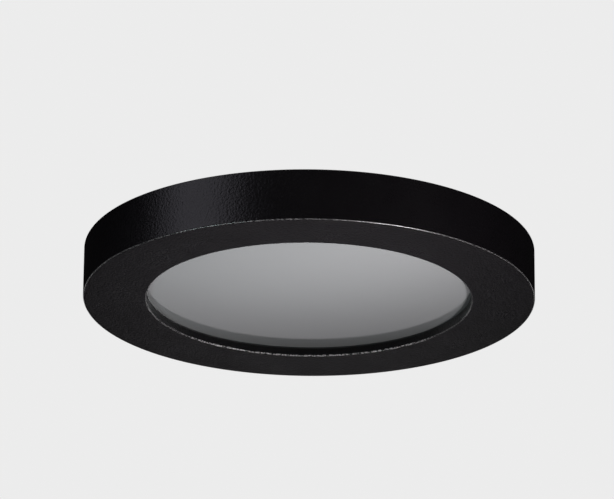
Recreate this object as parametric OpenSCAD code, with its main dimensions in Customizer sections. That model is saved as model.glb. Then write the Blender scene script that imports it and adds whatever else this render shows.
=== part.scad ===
// Surface-mounted round soffit downlight.
// The origin is the centre of the soffit plane, +Z points up into the soffit,
// and the light hangs below it and shines down. The rest pose is locked on its plate.

/* [Housing] */
// Outside diameter of the black drum
housing_d = 150; // [136:1:200]
// Height of the drum's side wall
housing_h = 17.2; // [16.5:0.1:24]
// Thickness of the drum's side wall
wall_t = 3; // [2.6:0.1:3.6]
// Thickness of the drum's lower face
face_t = 2.7; // [2:0.1:3.4]
// Radius broken on the two edges of the lower face
edge_r = 0.5; // [0.2:0.1:1]
// Number of radial ribs in the hollow round the lamp chamber
rib_count = 12; // [6:3:18]
// Thickness of a radial rib
rib_t = 1.6; // [1.2:0.1:2.4]
// Height of a radial rib above the lower face
rib_h = 6; // [3:0.5:8]

/* [Lamp chamber] */
// Metal left on each side of a screw head in the chamber's round collar
collar_land = 0.35; // [0.2:0.05:1]
// Thickness of the aluminium cover that closes the chamber
cover_t = 1.5; // [1.2:0.1:1.8]
// Thickness of the flat seal under the cover
cover_gasket_t = 0.5; // [0.4:0.1:0.9]
// Number of screws that hold the cover
cover_screw_count = 6; // [3:3:12]
// Thread diameter of a cover screw
cover_screw_d = 2.5; // [2:0.1:2.6]
// Length of a cover screw
cover_screw_l = 8; // [6:0.5:9]

/* [Lens] */
// Thickness of the frosted glass
lens_t = 3; // [2.5:0.1:4]
// Width of glass that rests on the ledge round the opening
lens_seat_w = 3; // [2.4:0.1:3.6]
// Thickness of the seal between the ledge and the glass
lens_gasket_t = 0.5; // [0.3:0.1:0.8]
// Width ground off the edges of the glass
lens_bevel = 0.4; // [0.2:0.1:0.8]

/* [Reflector] */
// Thickness of the white reflector's wall
reflector_t = 1.2; // [0.8:0.1:1.6]
// How far the reflector leans in from the glass to the board
reflector_lean = 8.5; // [7.5:0.1:9]

/* [Light board] */
// Thickness of the aluminium-core board
board_t = 1.5; // [1:0.1:1.8]
// Thickness of the heat-conducting pad behind the board
pad_t = 0.3; // [0.2:0.1:0.6]
// Radius of the inner ring of light-emitting diodes
led_inner_ring_r = 18; // [17.5:0.5:19]
// Distance from the outer ring of diodes to the reflector
led_edge_gap = 4.8; // [4:0.1:5.5]
// Number of diodes on the inner ring
led_inner_count = 8; // [6:1:12]
// Number of diodes on the middle ring
led_middle_count = 12; // [8:1:20]
// Number of diodes on the outer ring
led_outer_count = 18; // [12:1:30]
// Length of a diode along its ring
led_l = 3.5; // [2.8:0.1:3.6]
// Width of a diode across its ring
led_w = 2.8; // [2:0.1:3]
// Height of a diode
led_h = 0.7; // [0.5:0.1:1]
// Thread diameter of a board screw
board_screw_d = 3; // [2.5:0.1:3]
// Length of a board screw under its head
board_screw_l = 3; // [2.5:0.1:3.2]

/* [Mounting plate] */
// Sheet thickness of the pressed steel plate
plate_t = 1.5; // [1.2:0.1:1.8]
// Air between the plate and the chamber's cover
plate_gap = 1.1; // [0.8:0.1:1.5]
// Diameter of the plate's central wire hole
wire_hole_d = 30; // [24:1:40]
// Distance between the centres of the two box slots
slot_spacing = 79.4; // [74:0.1:84]
// Length of a box slot, end to end
slot_l = 14; // [8:0.5:15]
// Width of a box slot
slot_w = 4.5; // [4:0.1:5]
// Distance of the four wood screw holes from the plate's edge
wood_screw_inset = 8.45; // [6:0.05:12]
// Diameter of a wood screw hole
wood_screw_d = 4.5; // [4:0.1:5]

/* [Twist lock] */
// Number of hooks on the plate, and of lugs in the drum
lug_count = 3; // [2:1:4]
// Angle that one lug covers
lug_angle = 22; // [16:1:24]
// Thickness of a lug
lug_t = 2; // [1.5:0.1:2.1]
// How far a hook's foot lies under a lug
lug_overlap = 3; // [2.5:0.1:4]
// Air between a lug and the hook's upright bend
lug_gap = 2.8; // [1:0.1:5]
// Angle that a foot runs on beyond its lug's open end
foot_extra_angle = 2; // [0:1:5]
// Diameter of the round stop pressed up from a foot
stop_d = 2.4; // [2:0.1:2.8]
// Height of the stop above its foot
stop_h = 1; // [0.6:0.1:1.2]
// Depth of the lug's upper face below the soffit
lug_top_depth = 0.9; // [0.7:0.1:1.2]

/* [Soffit seal] */
// How far the foam seal stands proud of the rim
seal_proud = 0.3; // [0.2:0.1:0.6]
// Width of the seal and of its groove
seal_w = 1.4; // [1:0.1:1.6]
// Depth of the groove in the rim
seal_groove_depth = 1; // [0.6:0.1:1.5]

/* [Cable inlet] */
// Bore of the rubber grommet
grommet_bore_d = 6.5; // [4:0.1:7.5]
// Diameter of the grommet's neck
grommet_neck_d = 10.8; // [10:0.1:12]
// Diameter of the grommet's two flanges
grommet_flange_d = 14; // [13:0.1:14.6]
// Thickness of the flange inside the chamber
grommet_inner_flange_t = 0.9; // [0.6:0.1:1.2]
// Thickness of the flange outside the chamber
grommet_outer_flange_t = 0.8; // [0.5:0.1:0.9]

/* [Breather vent] */
// Distance of the vent from the centre
vent_r = 24; // [23:0.5:25.5]
// Diameter of the vent hole
vent_hole_d = 1.6; // [1:0.1:2]
// Diameter of the membrane patch over it
vent_patch_d = 8; // [6:0.5:10]
// Thickness of the membrane patch
vent_patch_t = 0.3; // [0.2:0.1:0.4]

/* [Clearances] */
// Air round the glass and the reflector inside the collar
lens_clear = 0.4; // [0.2:0.1:0.8]
// Air between the board's edge and the collar
board_clear = 1; // [0.5:0.1:1.5]
// Air between a lug and the foot under it
lug_clear = 0.2; // [0.1:0.05:0.4]
// Air between the plate's upright bend and the cover
bend_clear = 0.8; // [0.5:0.1:1.2]
// Air between a foot and the drum's wall
foot_clear = 1.5; // [1:0.1:2]
// Air round a screw's thread and a grommet's neck
thread_clear = 0.05; // [0.02:0.01:0.08]
// Air round a board screw and a grommet flange in the board
board_hole_clear = 1; // [0.5:0.1:1.2]

/* [Hidden] */
$fn = 120;

// Heights, from the soffit plane downwards
rim_z = -seal_proud;
face_z = rim_z - housing_h;
ledge_z = face_z + face_t;
lens_lower_z = ledge_z + lens_gasket_t;
lens_upper_z = lens_lower_z + lens_t;
cover_upper_z = -plate_t - plate_gap;
cover_lower_z = cover_upper_z - cover_t;
collar_z = cover_lower_z - cover_gasket_t;
board_upper_z = cover_lower_z - pad_t;
board_lower_z = board_upper_z - board_t;
lug_upper_z = -lug_top_depth;
lug_lower_z = lug_upper_z - lug_t;
foot_upper_z = lug_lower_z - lug_clear;
foot_lower_z = foot_upper_z - plate_t;

// Small radii of the casting
rim_edge_r = 0.3;
corner_r = 1;

// Screw heads
screw_slot_w = 0.7;
screw_slot_depth = 0.6;
screw_slot_ratio = 0.6;
cover_head_ratio = 1.72;
cover_head_d = cover_screw_d * cover_head_ratio;
cover_head_h = (cover_head_d - cover_screw_d) / 2;
board_head_ratio = 1.8;
board_head_d = board_screw_d * board_head_ratio;
board_head_h = 1.4;

// Radii, from the drum's outside inwards to the light opening
housing_r = housing_d / 2;
wall_inner_r = housing_r - wall_t;
seal_r = housing_r - wall_t / 2;
foot_outer_r = wall_inner_r - foot_clear;
lug_inner_r = foot_outer_r - lug_overlap;
bend_outer_r = lug_inner_r - lug_gap;
bend_inner_r = bend_outer_r - plate_t;
plate_edge_r = bend_inner_r - plate_t / 2;
collar_outer_r = bend_inner_r - bend_clear;
collar_inner_r = collar_outer_r - cover_head_d - 2 * collar_land;
cover_screw_ring_r = (collar_inner_r + collar_outer_r) / 2;
lens_r = collar_inner_r - lens_clear;
opening_r = lens_r - lens_seat_w;

// Radii inside the lamp chamber
board_r = collar_inner_r - board_clear;
board_hole_r = grommet_flange_d / 2 + board_hole_clear;
reflector_lower_r = opening_r + reflector_t / 4;
reflector_upper_r = reflector_lower_r - reflector_lean;
reflector_foot_h = 1;

// Twist lock
stop_gap = 0.4;
stop_margin = 1;
stop_ring_r = (lug_inner_r + foot_outer_r) / 2;
stop_angle = arc_angle(stop_margin + stop_d / 2, stop_ring_r);
foot_end_angle = lug_angle / 2 + arc_angle(stop_gap + stop_d / 2, stop_ring_r) + stop_angle;
foot_angle = lug_angle / 2 + foot_extra_angle + foot_end_angle;
bend_r = plate_t;
bend_inside_r = 0.4;

// Rings of diodes, and the board screws between the two outer ones
led_outer_ring_r = reflector_upper_r - led_edge_gap;
led_middle_shift = 0.5;
led_middle_ring_r = (led_inner_ring_r + led_outer_ring_r) / 2 + led_middle_shift;
led_ring_r = [led_inner_ring_r, led_middle_ring_r, led_outer_ring_r];
led_ring_count = [led_inner_count, led_middle_count, led_outer_count];
board_screw_ring_r = (led_middle_ring_r + led_outer_ring_r) / 2;

// Angles
board_screw_angles = [60, 180, 300];
wood_screw_angles = [45, 135, 225, 315];
vent_angle = 90;

// Electronic parts, each [length along the board's edge, width across it, height]
rectifier_size = [5, 4.4, 1.3];
chip_size = [5, 3.9, 1.5];
varistor_size = [5.7, 4.4, 1.6];
fuse_d = 1.8;
fuse_l = 5.5;
resistor_size = [3.2, 1.6, 0.6];
terminal_size = [6, 4.4, 2.4];
terminal_mouth_d = 1.6;
terminal_mouth_depth = 3;
part_margin = 0.6;
terminal_margin = 1.2;
part_ring_r = board_r - varistor_size[1] / 2 - part_margin;
terminal_ring_r = board_hole_r + terminal_size[1] / 2 + terminal_margin;
fuse_angles = [14, 46];
resistor_angles = [110, 116, 122, 214, 220, 226, 290, 296];
chip_angles = [160, 200];
rectifier_angle = 90;
varistor_angle = 66;
terminal_angles = [250, 290];

join = 0.5;         // how deep a solid runs into one that it is cast with
through = 1;        // how far a cut runs past the face that it breaks

function arc_angle(length, radius) = length / radius * 180 / PI;

function arc_points(x, y, r, from, to, n = 8) =
    [for (i = [0:n]) let (a = from + (to - from) * i / n) [x + r * cos(a), y + r * sin(a)]];

// A full ring or a stretch of one, with a rectangular section
module ring(inner_r, outer_r, lower_z, upper_z, angle = 360) {
    rotate_extrude(angle = angle)
        translate([inner_r, lower_z])
            square([outer_r - inner_r, upper_z - lower_z]);
}

// Children stand once at each angle, at a radius from the centre
module around(radius, angles) {
    for (a = angles)
        rotate([0, 0, a])
            translate([radius, 0, 0])
                children();
}

function even_angles(count, first = 0) = [for (i = [0:count - 1]) first + i * 360 / count];

module round_hole(d, lower_z, upper_z) {
    translate([0, 0, lower_z - through])
        cylinder(h = upper_z - lower_z + 2 * through, d = d);
}

// A block that stands on the board's lower side and points down
module board_part(size) {
    translate([-size[1] / 2, -size[0] / 2, board_lower_z - size[2]])
        cube([size[1], size[0], size[2]]);
}

// Cross recess of a screw, cut down into a head whose top is at z
module cross_recess(z, d) {
    arm_l = d * screw_slot_ratio;
    for (turn = [0, 90])
        rotate([0, 0, turn])
            translate([-arm_l / 2, -screw_slot_w / 2, z - screw_slot_depth])
                cube([arm_l, screw_slot_w, screw_slot_depth + through]);
}

module mounting_plate() {
    color("#b9bcbe")
        difference() {
            union() {
                rotate_extrude()
                    polygon(plate_profile());
                around(stop_ring_r, even_angles(lug_count, foot_end_angle - stop_angle))
                    translate([0, 0, foot_upper_z - join])
                        cylinder(h = stop_h + join, d = stop_d);
            }
            for (a = even_angles(lug_count, foot_end_angle))
                rotate([0, 0, a])
                    ring(plate_edge_r, foot_outer_r + through, foot_lower_z - through, through,
                         360 / lug_count - foot_angle);
            around(plate_edge_r - wood_screw_inset, wood_screw_angles)
                round_hole(wood_screw_d, -plate_t, 0);
            for (side = [-1, 1])
                translate([side * slot_spacing / 2, 0, -plate_t - through])
                    box_slot();
        }
}

// Half section through a hook: sheet bent down from the plate and out again to a foot
function plate_profile() = concat(
    [[wire_hole_d / 2, 0],
     [wire_hole_d / 2, -plate_t]],
    arc_points(bend_inner_r - bend_inside_r, -plate_t - bend_inside_r, bend_inside_r, 90, 0, 4),
    arc_points(bend_inner_r + bend_r, foot_lower_z + bend_r, bend_r, 180, 270),
    [[foot_outer_r, foot_lower_z],
     [foot_outer_r, foot_upper_z]],
    arc_points(bend_outer_r + bend_inside_r, foot_upper_z + bend_inside_r, bend_inside_r, 270, 180, 4),
    arc_points(bend_outer_r - bend_r, -bend_r, bend_r, 0, 90));

// A straight slot with round ends, along X
module box_slot() {
    half_run = (slot_l - slot_w) / 2;
    for (side = [-1, 1])
        translate([side * half_run, 0, 0])
            cylinder(h = plate_t + 2 * through, d = slot_w);
    translate([-half_run, -slot_w / 2, 0])
        cube([2 * half_run, slot_w, plate_t + 2 * through]);
}

module housing() {
    color("#1b1a1c")
        difference() {
            union() {
                rotate_extrude()
                    polygon(housing_profile());
                around(0, even_angles(rib_count, 180 / rib_count))
                    housing_rib();
                for (a = even_angles(lug_count))
                    rotate([0, 0, a - lug_angle / 2])
                        ring(lug_inner_r, wall_inner_r + join, lug_lower_z, lug_upper_z, lug_angle);
            }
            around(cover_screw_ring_r, even_angles(cover_screw_count))
                translate([0, 0, cover_upper_z - cover_screw_l - through])
                    cylinder(h = cover_screw_l + 2 * through, d = cover_screw_d + 2 * thread_clear);
        }
}

// Half section of the drum: lower face, side wall with its seal groove, and chamber collar
function housing_profile() = concat(
    arc_points(opening_r + edge_r, face_z + edge_r, edge_r, 180, 270),
    arc_points(housing_r - edge_r, face_z + edge_r, edge_r, 270, 360),
    arc_points(housing_r - rim_edge_r, rim_z - rim_edge_r, rim_edge_r, 0, 90, 4),
    [[seal_r + seal_w / 2, rim_z],
     [seal_r + seal_w / 2, rim_z - seal_groove_depth],
     [seal_r - seal_w / 2, rim_z - seal_groove_depth],
     [seal_r - seal_w / 2, rim_z],
     [wall_inner_r, rim_z]],
    arc_points(wall_inner_r - corner_r, ledge_z + corner_r, corner_r, 0, -90, 5),
    arc_points(collar_outer_r + corner_r, ledge_z + corner_r, corner_r, -90, -180, 5),
    [[collar_outer_r, collar_z],
     [collar_inner_r, collar_z],
     [collar_inner_r, ledge_z],
     [opening_r, ledge_z]]);

module housing_rib() {
    translate([collar_outer_r - join, -rib_t / 2, ledge_z - join])
        cube([wall_inner_r - collar_outer_r + 2 * join, rib_t, rib_h + join]);
}

module soffit_seal() {
    color("#2a2a2a")
        ring(seal_r - seal_w / 2, seal_r + seal_w / 2, rim_z - seal_groove_depth, 0);
}

module lens_gasket() {
    color("#202020")
        ring(opening_r, lens_r, ledge_z, lens_lower_z);
}

module lens() {
    color("#a9abad")
        rotate_extrude()
            polygon([[0, lens_lower_z],
                     [lens_r - lens_bevel, lens_lower_z],
                     [lens_r, lens_lower_z + lens_bevel],
                     [lens_r, lens_upper_z - lens_bevel],
                     [lens_r - lens_bevel, lens_upper_z],
                     [0, lens_upper_z]]);
}

// White cone from the glass up to the board, with a foot that presses the glass on its seal
module reflector() {
    color("white")
        rotate_extrude()
            polygon([[reflector_lower_r, lens_upper_z],
                     [lens_r, lens_upper_z],
                     [lens_r, lens_upper_z + reflector_foot_h],
                     [reflector_lower_r + reflector_t, lens_upper_z + reflector_foot_h],
                     [reflector_upper_r + reflector_t, board_lower_z],
                     [reflector_upper_r, board_lower_z]]);
}

module led_board() {
    color("#f2f2ee")
        difference() {
            ring(board_hole_r, board_r, board_lower_z, board_upper_z);
            around(board_screw_ring_r, board_screw_angles)
                round_hole(board_screw_d + 2 * thread_clear, board_lower_z, board_upper_z);
            around(vent_r, [vent_angle])
                round_hole(vent_hole_d, board_lower_z, board_upper_z);
        }
}

module leds() {
    color("#e8d27a")
        for (i = [0:len(led_ring_r) - 1])
            around(led_ring_r[i], even_angles(led_ring_count[i], 180 / led_ring_count[i]))
                board_part([led_l, led_w, led_h]);
}

module bridge_rectifier() {
    color("#26262a")
        around(part_ring_r, [rectifier_angle])
            board_part(rectifier_size);
}

module driver_chips() {
    color("#1f1f23")
        around(part_ring_r, chip_angles)
            board_part(chip_size);
}

module varistor() {
    color("#2d5fa8")
        around(part_ring_r, [varistor_angle])
            board_part(varistor_size);
}

module fuse_resistors() {
    color("#7fa08a")
        around(part_ring_r, fuse_angles)
            translate([0, 0, board_lower_z - fuse_d / 2])
                rotate([90, 0, 0])
                    cylinder(h = fuse_l, d = fuse_d, center = true, $fn = 32);
}

module chip_resistors() {
    color("#141414")
        around(part_ring_r, resistor_angles)
            board_part(resistor_size);
}

// Two push-in terminals for the supply wires, each with its wire mouth towards the grommet
module wire_terminals() {
    color("#eeeeea")
        around(terminal_ring_r, terminal_angles)
            difference() {
                board_part(terminal_size);
                for (side = [-1, 1])
                    translate([-terminal_size[1] / 2 - through, side * terminal_size[0] / 4,
                               board_lower_z - terminal_size[2] / 2])
                        rotate([0, 90, 0])
                            cylinder(h = terminal_mouth_depth + through, d = terminal_mouth_d, $fn = 24);
            }
}

// Pan-head screws that hold the board and its pad up against the cover
module board_screws() {
    color("#c8cacc")
        around(board_screw_ring_r, board_screw_angles)
            difference() {
                union() {
                    translate([0, 0, board_lower_z - board_head_h])
                        cylinder(h = board_head_h, d = board_head_d);
                    translate([0, 0, board_lower_z - join])
                        cylinder(h = board_screw_l + join, d = board_screw_d);
                }
                mirror([0, 0, 1])
                    cross_recess(board_head_h - board_lower_z, board_head_d);
            }
}

module thermal_pad() {
    color("#9aa7b5")
        difference() {
            ring(board_hole_r, board_r, board_upper_z, cover_lower_z);
            around(board_screw_ring_r, board_screw_angles)
                round_hole(board_screw_d + 2 * thread_clear, board_upper_z, cover_lower_z);
            around(vent_r, [vent_angle])
                round_hole(vent_hole_d, board_upper_z, cover_lower_z);
        }
}

module chamber_cover() {
    color("#c4c6c8")
        difference() {
            translate([0, 0, cover_lower_z])
                cylinder(h = cover_t, r = collar_outer_r);
            around(cover_screw_ring_r, even_angles(cover_screw_count))
                translate([0, 0, cover_upper_z])
                    countersink();
            around(board_screw_ring_r, board_screw_angles)
                round_hole(board_screw_d + 2 * thread_clear, cover_lower_z, cover_upper_z);
            around(vent_r, [vent_angle])
                round_hole(vent_hole_d, cover_lower_z, cover_upper_z);
            round_hole(grommet_neck_d + 2 * thread_clear, cover_lower_z, cover_upper_z);
        }
}

// Hole for a countersunk screw whose head is flush with z = 0
module countersink() {
    translate([0, 0, -cover_head_h])
        cylinder(h = cover_head_h, d1 = cover_screw_d + 2 * thread_clear,
                 d2 = cover_head_d + 2 * thread_clear);
    translate([0, 0, -cover_t - through])
        cylinder(h = cover_t + 2 * through, d = cover_screw_d + 2 * thread_clear);
}

module cover_gasket() {
    color("#303030")
        difference() {
            ring(collar_inner_r, collar_outer_r, collar_z, cover_lower_z);
            around(cover_screw_ring_r, even_angles(cover_screw_count))
                round_hole(cover_screw_d + 2 * thread_clear, collar_z, cover_lower_z);
        }
}

module cover_screws() {
    color("#d0d2d4")
        around(cover_screw_ring_r, even_angles(cover_screw_count))
            translate([0, 0, cover_upper_z])
                difference() {
                    union() {
                        translate([0, 0, -cover_head_h])
                            cylinder(h = cover_head_h, d1 = cover_screw_d, d2 = cover_head_d);
                        translate([0, 0, -cover_screw_l])
                            cylinder(h = cover_screw_l, d = cover_screw_d);
                    }
                    cross_recess(0, cover_head_d);
                }
}

// Rubber grommet, with its neck in the cover's hole and a flange on each side of it
module cable_grommet() {
    color("#1a1a1a")
        difference() {
            union() {
                translate([0, 0, cover_lower_z - grommet_inner_flange_t])
                    cylinder(h = grommet_inner_flange_t, d = grommet_flange_d);
                translate([0, 0, cover_lower_z - grommet_inner_flange_t / 2])
                    cylinder(h = cover_t + grommet_inner_flange_t / 2 + grommet_outer_flange_t / 2,
                             d = grommet_neck_d);
                translate([0, 0, cover_upper_z])
                    cylinder(h = grommet_outer_flange_t, d = grommet_flange_d);
            }
            round_hole(grommet_bore_d, cover_lower_z - grommet_inner_flange_t,
                       cover_upper_z + grommet_outer_flange_t);
        }
}

// Breathable membrane stuck over the vent hole on the cover
module vent_patch() {
    color("#e9e9e6")
        around(vent_r, [vent_angle])
            translate([0, 0, cover_upper_z])
                cylinder(h = vent_patch_t, d = vent_patch_d);
}

mounting_plate();
housing();
soffit_seal();
lens_gasket();
lens();
reflector();
led_board();
leds();
bridge_rectifier();
driver_chips();
varistor();
fuse_resistors();
chip_resistors();
wire_terminals();
board_screws();
thermal_pad();
chamber_cover();
cover_gasket();
cover_screws();
cable_grommet();
vent_patch();
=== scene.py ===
"""Soffit downlight: the dressed model, its studio and its camera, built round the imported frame.

The frame gives every solid in metres, with the soffit at z = 0 and the light shining towards -Z.
Each sub-assembly below replaces its plain solids with modelled pieces and gives them a finish.
"""

import logging
import math
from dataclasses import dataclass
from enum import Enum
from typing import Callable, Sequence

import bmesh
import bpy
from mathutils import Matrix, Quaternion, Vector


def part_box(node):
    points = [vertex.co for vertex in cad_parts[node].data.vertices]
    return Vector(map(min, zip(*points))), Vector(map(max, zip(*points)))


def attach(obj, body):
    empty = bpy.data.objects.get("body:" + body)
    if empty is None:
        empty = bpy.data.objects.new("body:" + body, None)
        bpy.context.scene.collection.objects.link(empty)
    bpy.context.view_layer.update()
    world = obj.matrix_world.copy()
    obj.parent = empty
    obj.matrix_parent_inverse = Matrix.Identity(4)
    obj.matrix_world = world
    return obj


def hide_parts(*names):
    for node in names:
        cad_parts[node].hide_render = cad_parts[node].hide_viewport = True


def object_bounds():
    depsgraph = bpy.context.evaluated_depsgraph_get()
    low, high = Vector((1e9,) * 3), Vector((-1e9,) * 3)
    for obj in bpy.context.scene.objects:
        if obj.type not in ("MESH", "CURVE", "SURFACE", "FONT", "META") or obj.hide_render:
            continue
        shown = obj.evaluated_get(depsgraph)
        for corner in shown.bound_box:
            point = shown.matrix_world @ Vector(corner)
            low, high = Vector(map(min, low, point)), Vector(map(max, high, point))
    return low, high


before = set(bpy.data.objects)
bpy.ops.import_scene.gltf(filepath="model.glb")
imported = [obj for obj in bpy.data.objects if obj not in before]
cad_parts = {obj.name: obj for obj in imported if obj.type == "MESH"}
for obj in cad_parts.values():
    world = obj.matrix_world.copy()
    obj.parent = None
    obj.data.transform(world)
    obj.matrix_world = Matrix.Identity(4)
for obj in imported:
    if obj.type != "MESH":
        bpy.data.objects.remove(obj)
CAD_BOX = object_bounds()

MM = 0.001
FULL_TURN = 2 * math.pi
TINY = 1e-6
SMOOTH_ANGLE = math.radians(35)
LOG = logging.getLogger("soffit_downlight")

Colour = tuple[float, float, float]
Point = tuple[float, float, float]
Section = Sequence[tuple[float, ...]]
Test = Callable[[Vector, Vector], bool]
Values = dict[str | int, object]


def everything(*_: Vector) -> bool:
    """Picks whatever is asked about."""
    return True


def facing(*way: float) -> Test:
    """Makes a test that picks the faces that point one way."""
    return lambda _, normal: normal.dot(Vector(way)) > 0.9


def centre(at: Vector, normal: Vector) -> bool:
    """Picks the face in the middle of a part's lower side."""
    return normal.z < -0.9 and math.hypot(at.x, at.y) < TINY


class Body(Enum):
    """The two parts of the light that turn against each other."""

    BRACKET = "bracket"
    LUMINAIRE = "luminaire"


class Pick(Enum):
    """What a selection in edit mode is made of."""

    POINTS = "VERT"
    EDGES = "EDGE"
    FACES = "FACE"


@dataclass(frozen=True)
class Span:
    """Reach of a solid: its radius from its axis, and its heights."""

    radius: float
    low: float
    high: float

    @classmethod
    def of(cls, node: str) -> "Span":
        """Measures a solid of the frame that stands round the light's axis."""
        low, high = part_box(node)
        return cls(high.x, low.z, high.z)

    def through(self, radius: float) -> "Span":
        """Gives the reach of a round tool that cuts right through the solid."""
        return Span(radius, self.low - MM, self.high + MM)


@dataclass(frozen=True)
class Ring:
    """Places on a circle round the light's axis: its radius, and their angles in degrees."""

    radius: float
    angles: tuple[float, ...]

    @classmethod
    def even(cls, count: int, radius: float = 0.0, first: float = 0.0) -> "Ring":
        """Spreads places evenly round the circle, from the first angle on."""
        return cls(radius, tuple(first + 360 * step / count for step in range(count)))


@dataclass(frozen=True)
class Size:
    """Length along Y, width along X and height of a part that hangs from z = 0."""

    length: float
    width: float
    height: float

    def halves(self) -> Point:
        """Gives half the width and half the length, and the whole height."""
        return self.width / 2, self.length / 2, self.height


# ---------------------------------------------------------------- modelling


class Form:
    """A mesh that is shaped with edit-mode operators, as by hand."""

    def __init__(self) -> None:
        """Takes over the primitive that was just added, and applies its place."""
        self.thing = bpy.context.object
        self.apply_place()

    @staticmethod
    def clear() -> None:
        """Leaves edit mode and deselects everything."""
        if bpy.context.object and bpy.context.object.mode != "OBJECT":
            bpy.ops.object.mode_set(mode="OBJECT")
        bpy.ops.object.select_all(action="DESELECT")

    @classmethod
    def add(cls, tool: Callable, **settings: object) -> "Form":
        """Adds a primitive.

        Args:
            tool: The operator that adds it.
            settings: The operator's settings.

        Returns:
            The new form.
        """
        cls.clear()
        tool(**settings)
        return cls()

    @classmethod
    def block(cls, low: Point, high: Point) -> "Form":
        """Adds a box between its lowest and its highest corner."""
        low, high = Vector(low), Vector(high)
        return cls.add(bpy.ops.mesh.primitive_cube_add, size=1, location=(low + high) / 2, scale=high - low)

    @classmethod
    def rod(cls, reach: Span, sides: int) -> "Form":
        """Adds an upright cylinder with so many flats round it."""
        return cls.add(bpy.ops.mesh.primitive_cylinder_add, vertices=sides, radius=reach.radius,
                       depth=reach.high - reach.low, location=(0, 0, (reach.low + reach.high) / 2))

    @classmethod
    def traced(cls, corners: Sequence[Vector], section: Section, closed: bool, rounding: int) -> "Form":
        """Draws an outline by extruding a point from corner to corner.

        Args:
            corners: Place of each corner.
            section: The corners as given, with their roundings.
            closed: Whether the last corner is joined to the first.
            rounding: Segments of a rounded corner.

        Returns:
            The outline, in edit mode.
        """
        form = cls.add(bpy.ops.mesh.primitive_plane_add, size=MM)
        form.pick(Pick.POINTS, everything)
        bpy.ops.mesh.merge(type="CENTER")
        bpy.ops.transform.translate(value=corners[0])
        for here, there in zip(corners, corners[1:]):
            bpy.ops.mesh.extrude_vertices_move(TRANSFORM_OT_translate={"value": there - here})
        if closed:
            ends = (corners[0], corners[-1])
            form.pick(Pick.POINTS, lambda at, _: min((at - end).length for end in ends) < TINY)
            bpy.ops.mesh.edge_face_add()
        for corner, given in zip(corners, section):
            if any(given[2:]):
                form.pick(Pick.POINTS, lambda at, _: (at - corner).length < TINY)
                bpy.ops.mesh.bevel(offset=given[2], segments=rounding, affect="VERTICES")
        return form

    @classmethod
    def pressed(cls, section: Section, width: float) -> "Form":
        """Draws an outline in the X-Z plane and extrudes it along Y.

        Args:
            section: X and Z of each corner, and its rounding where it has one.
            width: Width along Y, centred on the plane.

        Returns:
            The closed form.
        """
        corners = [Vector((corner[0], -width / 2, corner[1])) for corner in section]
        form = cls.traced(corners, section, closed=True, rounding=2)
        bpy.ops.mesh.select_all(action="SELECT")
        bpy.ops.mesh.edge_face_add()
        bpy.ops.mesh.extrude_region_move(TRANSFORM_OT_translate={"value": (0, width, 0)})
        return form.heal()

    @classmethod
    def turned(cls, section: Section, steps: int, angle: float = FULL_TURN, rounding: int = 5) -> "Form":
        """Draws a half section by extruding a point along it, and spins it about the light's axis.

        Args:
            section: Radius and height of each corner, and its rounding where it has one.
            steps: Number of steps round the axis.
            angle: How far it is spun, centred on +X where it is less than a full turn.
            rounding: Segments of a rounded corner.

        Returns:
            The closed form.
        """
        start = angle / 2 if angle < FULL_TURN else 0.0
        corners = [Vector((corner[0] * math.cos(start), corner[0] * math.sin(start), corner[1]))
                   for corner in section]
        form = cls.traced(corners, section, max(section[0][0], section[-1][0]) > TINY, rounding)
        bpy.ops.mesh.select_all(action="SELECT")
        bpy.ops.mesh.spin(steps=steps, angle=angle, center=(0, 0, 0), axis=(0, 0, 1),
                          use_auto_merge=angle == FULL_TURN)
        for side in (-1, 1) if angle < FULL_TURN else ():
            normal = Vector((-math.sin(side * start), math.cos(side * start), 0))
            form.pick(Pick.POINTS, lambda at, _: abs(at.dot(normal)) < TINY and at.x > 0)
            bpy.ops.mesh.edge_face_add()
        return form.heal()

    @classmethod
    def ring(cls, inner: float, reach: Span, steps: int, eases: Sequence[float] = (0, 0, 0, 0),
             angle: float = FULL_TURN, rounding: int = 5) -> "Form":
        """Spins a rectangle, eased at its inner low, outer low, outer high and inner high corner."""
        out, low, high = reach.radius, reach.low, reach.high
        return cls.turned([(*corner, ease) for corner, ease in
                           zip(((inner, low), (out, low), (out, high), (inner, high)), eases)],
                          steps, angle, rounding)

    def alone(self) -> None:
        """Leaves edit mode, selects this form alone and makes it the active one."""
        self.clear()
        self.thing.select_set(True)
        bpy.context.view_layer.objects.active = self.thing

    def apply_place(self) -> None:
        """Moves the object's place, turn and scale into its mesh."""
        self.alone()
        bpy.ops.object.transform_apply(location=True, rotation=True, scale=True)

    def pick(self, kind: Pick, test: Test) -> int:
        """Selects points, edges or faces by their place and direction, in edit mode.

        Args:
            kind: What is selected.
            test: Says of a middle point and a normal (or an edge's direction) whether it is picked.

        Returns:
            How many were picked.
        """
        if self.thing.mode != "EDIT":
            self.alone()
            bpy.ops.object.mode_set(mode="EDIT")
        bpy.ops.mesh.select_mode(type=kind.value)
        bpy.ops.mesh.select_all(action="DESELECT")
        mesh = bmesh.from_edit_mesh(self.thing.data)
        mesh.normal_update()
        if kind is Pick.POINTS:
            rows = [(point, point.co, point.normal) for point in mesh.verts]
        elif kind is Pick.EDGES:
            rows = [(edge, (edge.verts[0].co + edge.verts[1].co) / 2,
                     (edge.verts[1].co - edge.verts[0].co).normalized()) for edge in mesh.edges]
        else:
            rows = [(face, face.calc_center_median(), face.normal) for face in mesh.faces]
        picked = [item for item, at, way in rows if test(at, way)]
        for item in picked:
            item.select_set(True)
        mesh.select_flush_mode()
        bmesh.update_edit_mesh(self.thing.data)
        return len(picked)

    def use(self, tool: Callable, kind: Pick, test: Test, **settings: object) -> "Form":
        """Uses an edit-mode tool on what a test picks, if it picks anything."""
        if self.pick(kind, test):
            tool(**settings)
        return self

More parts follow.
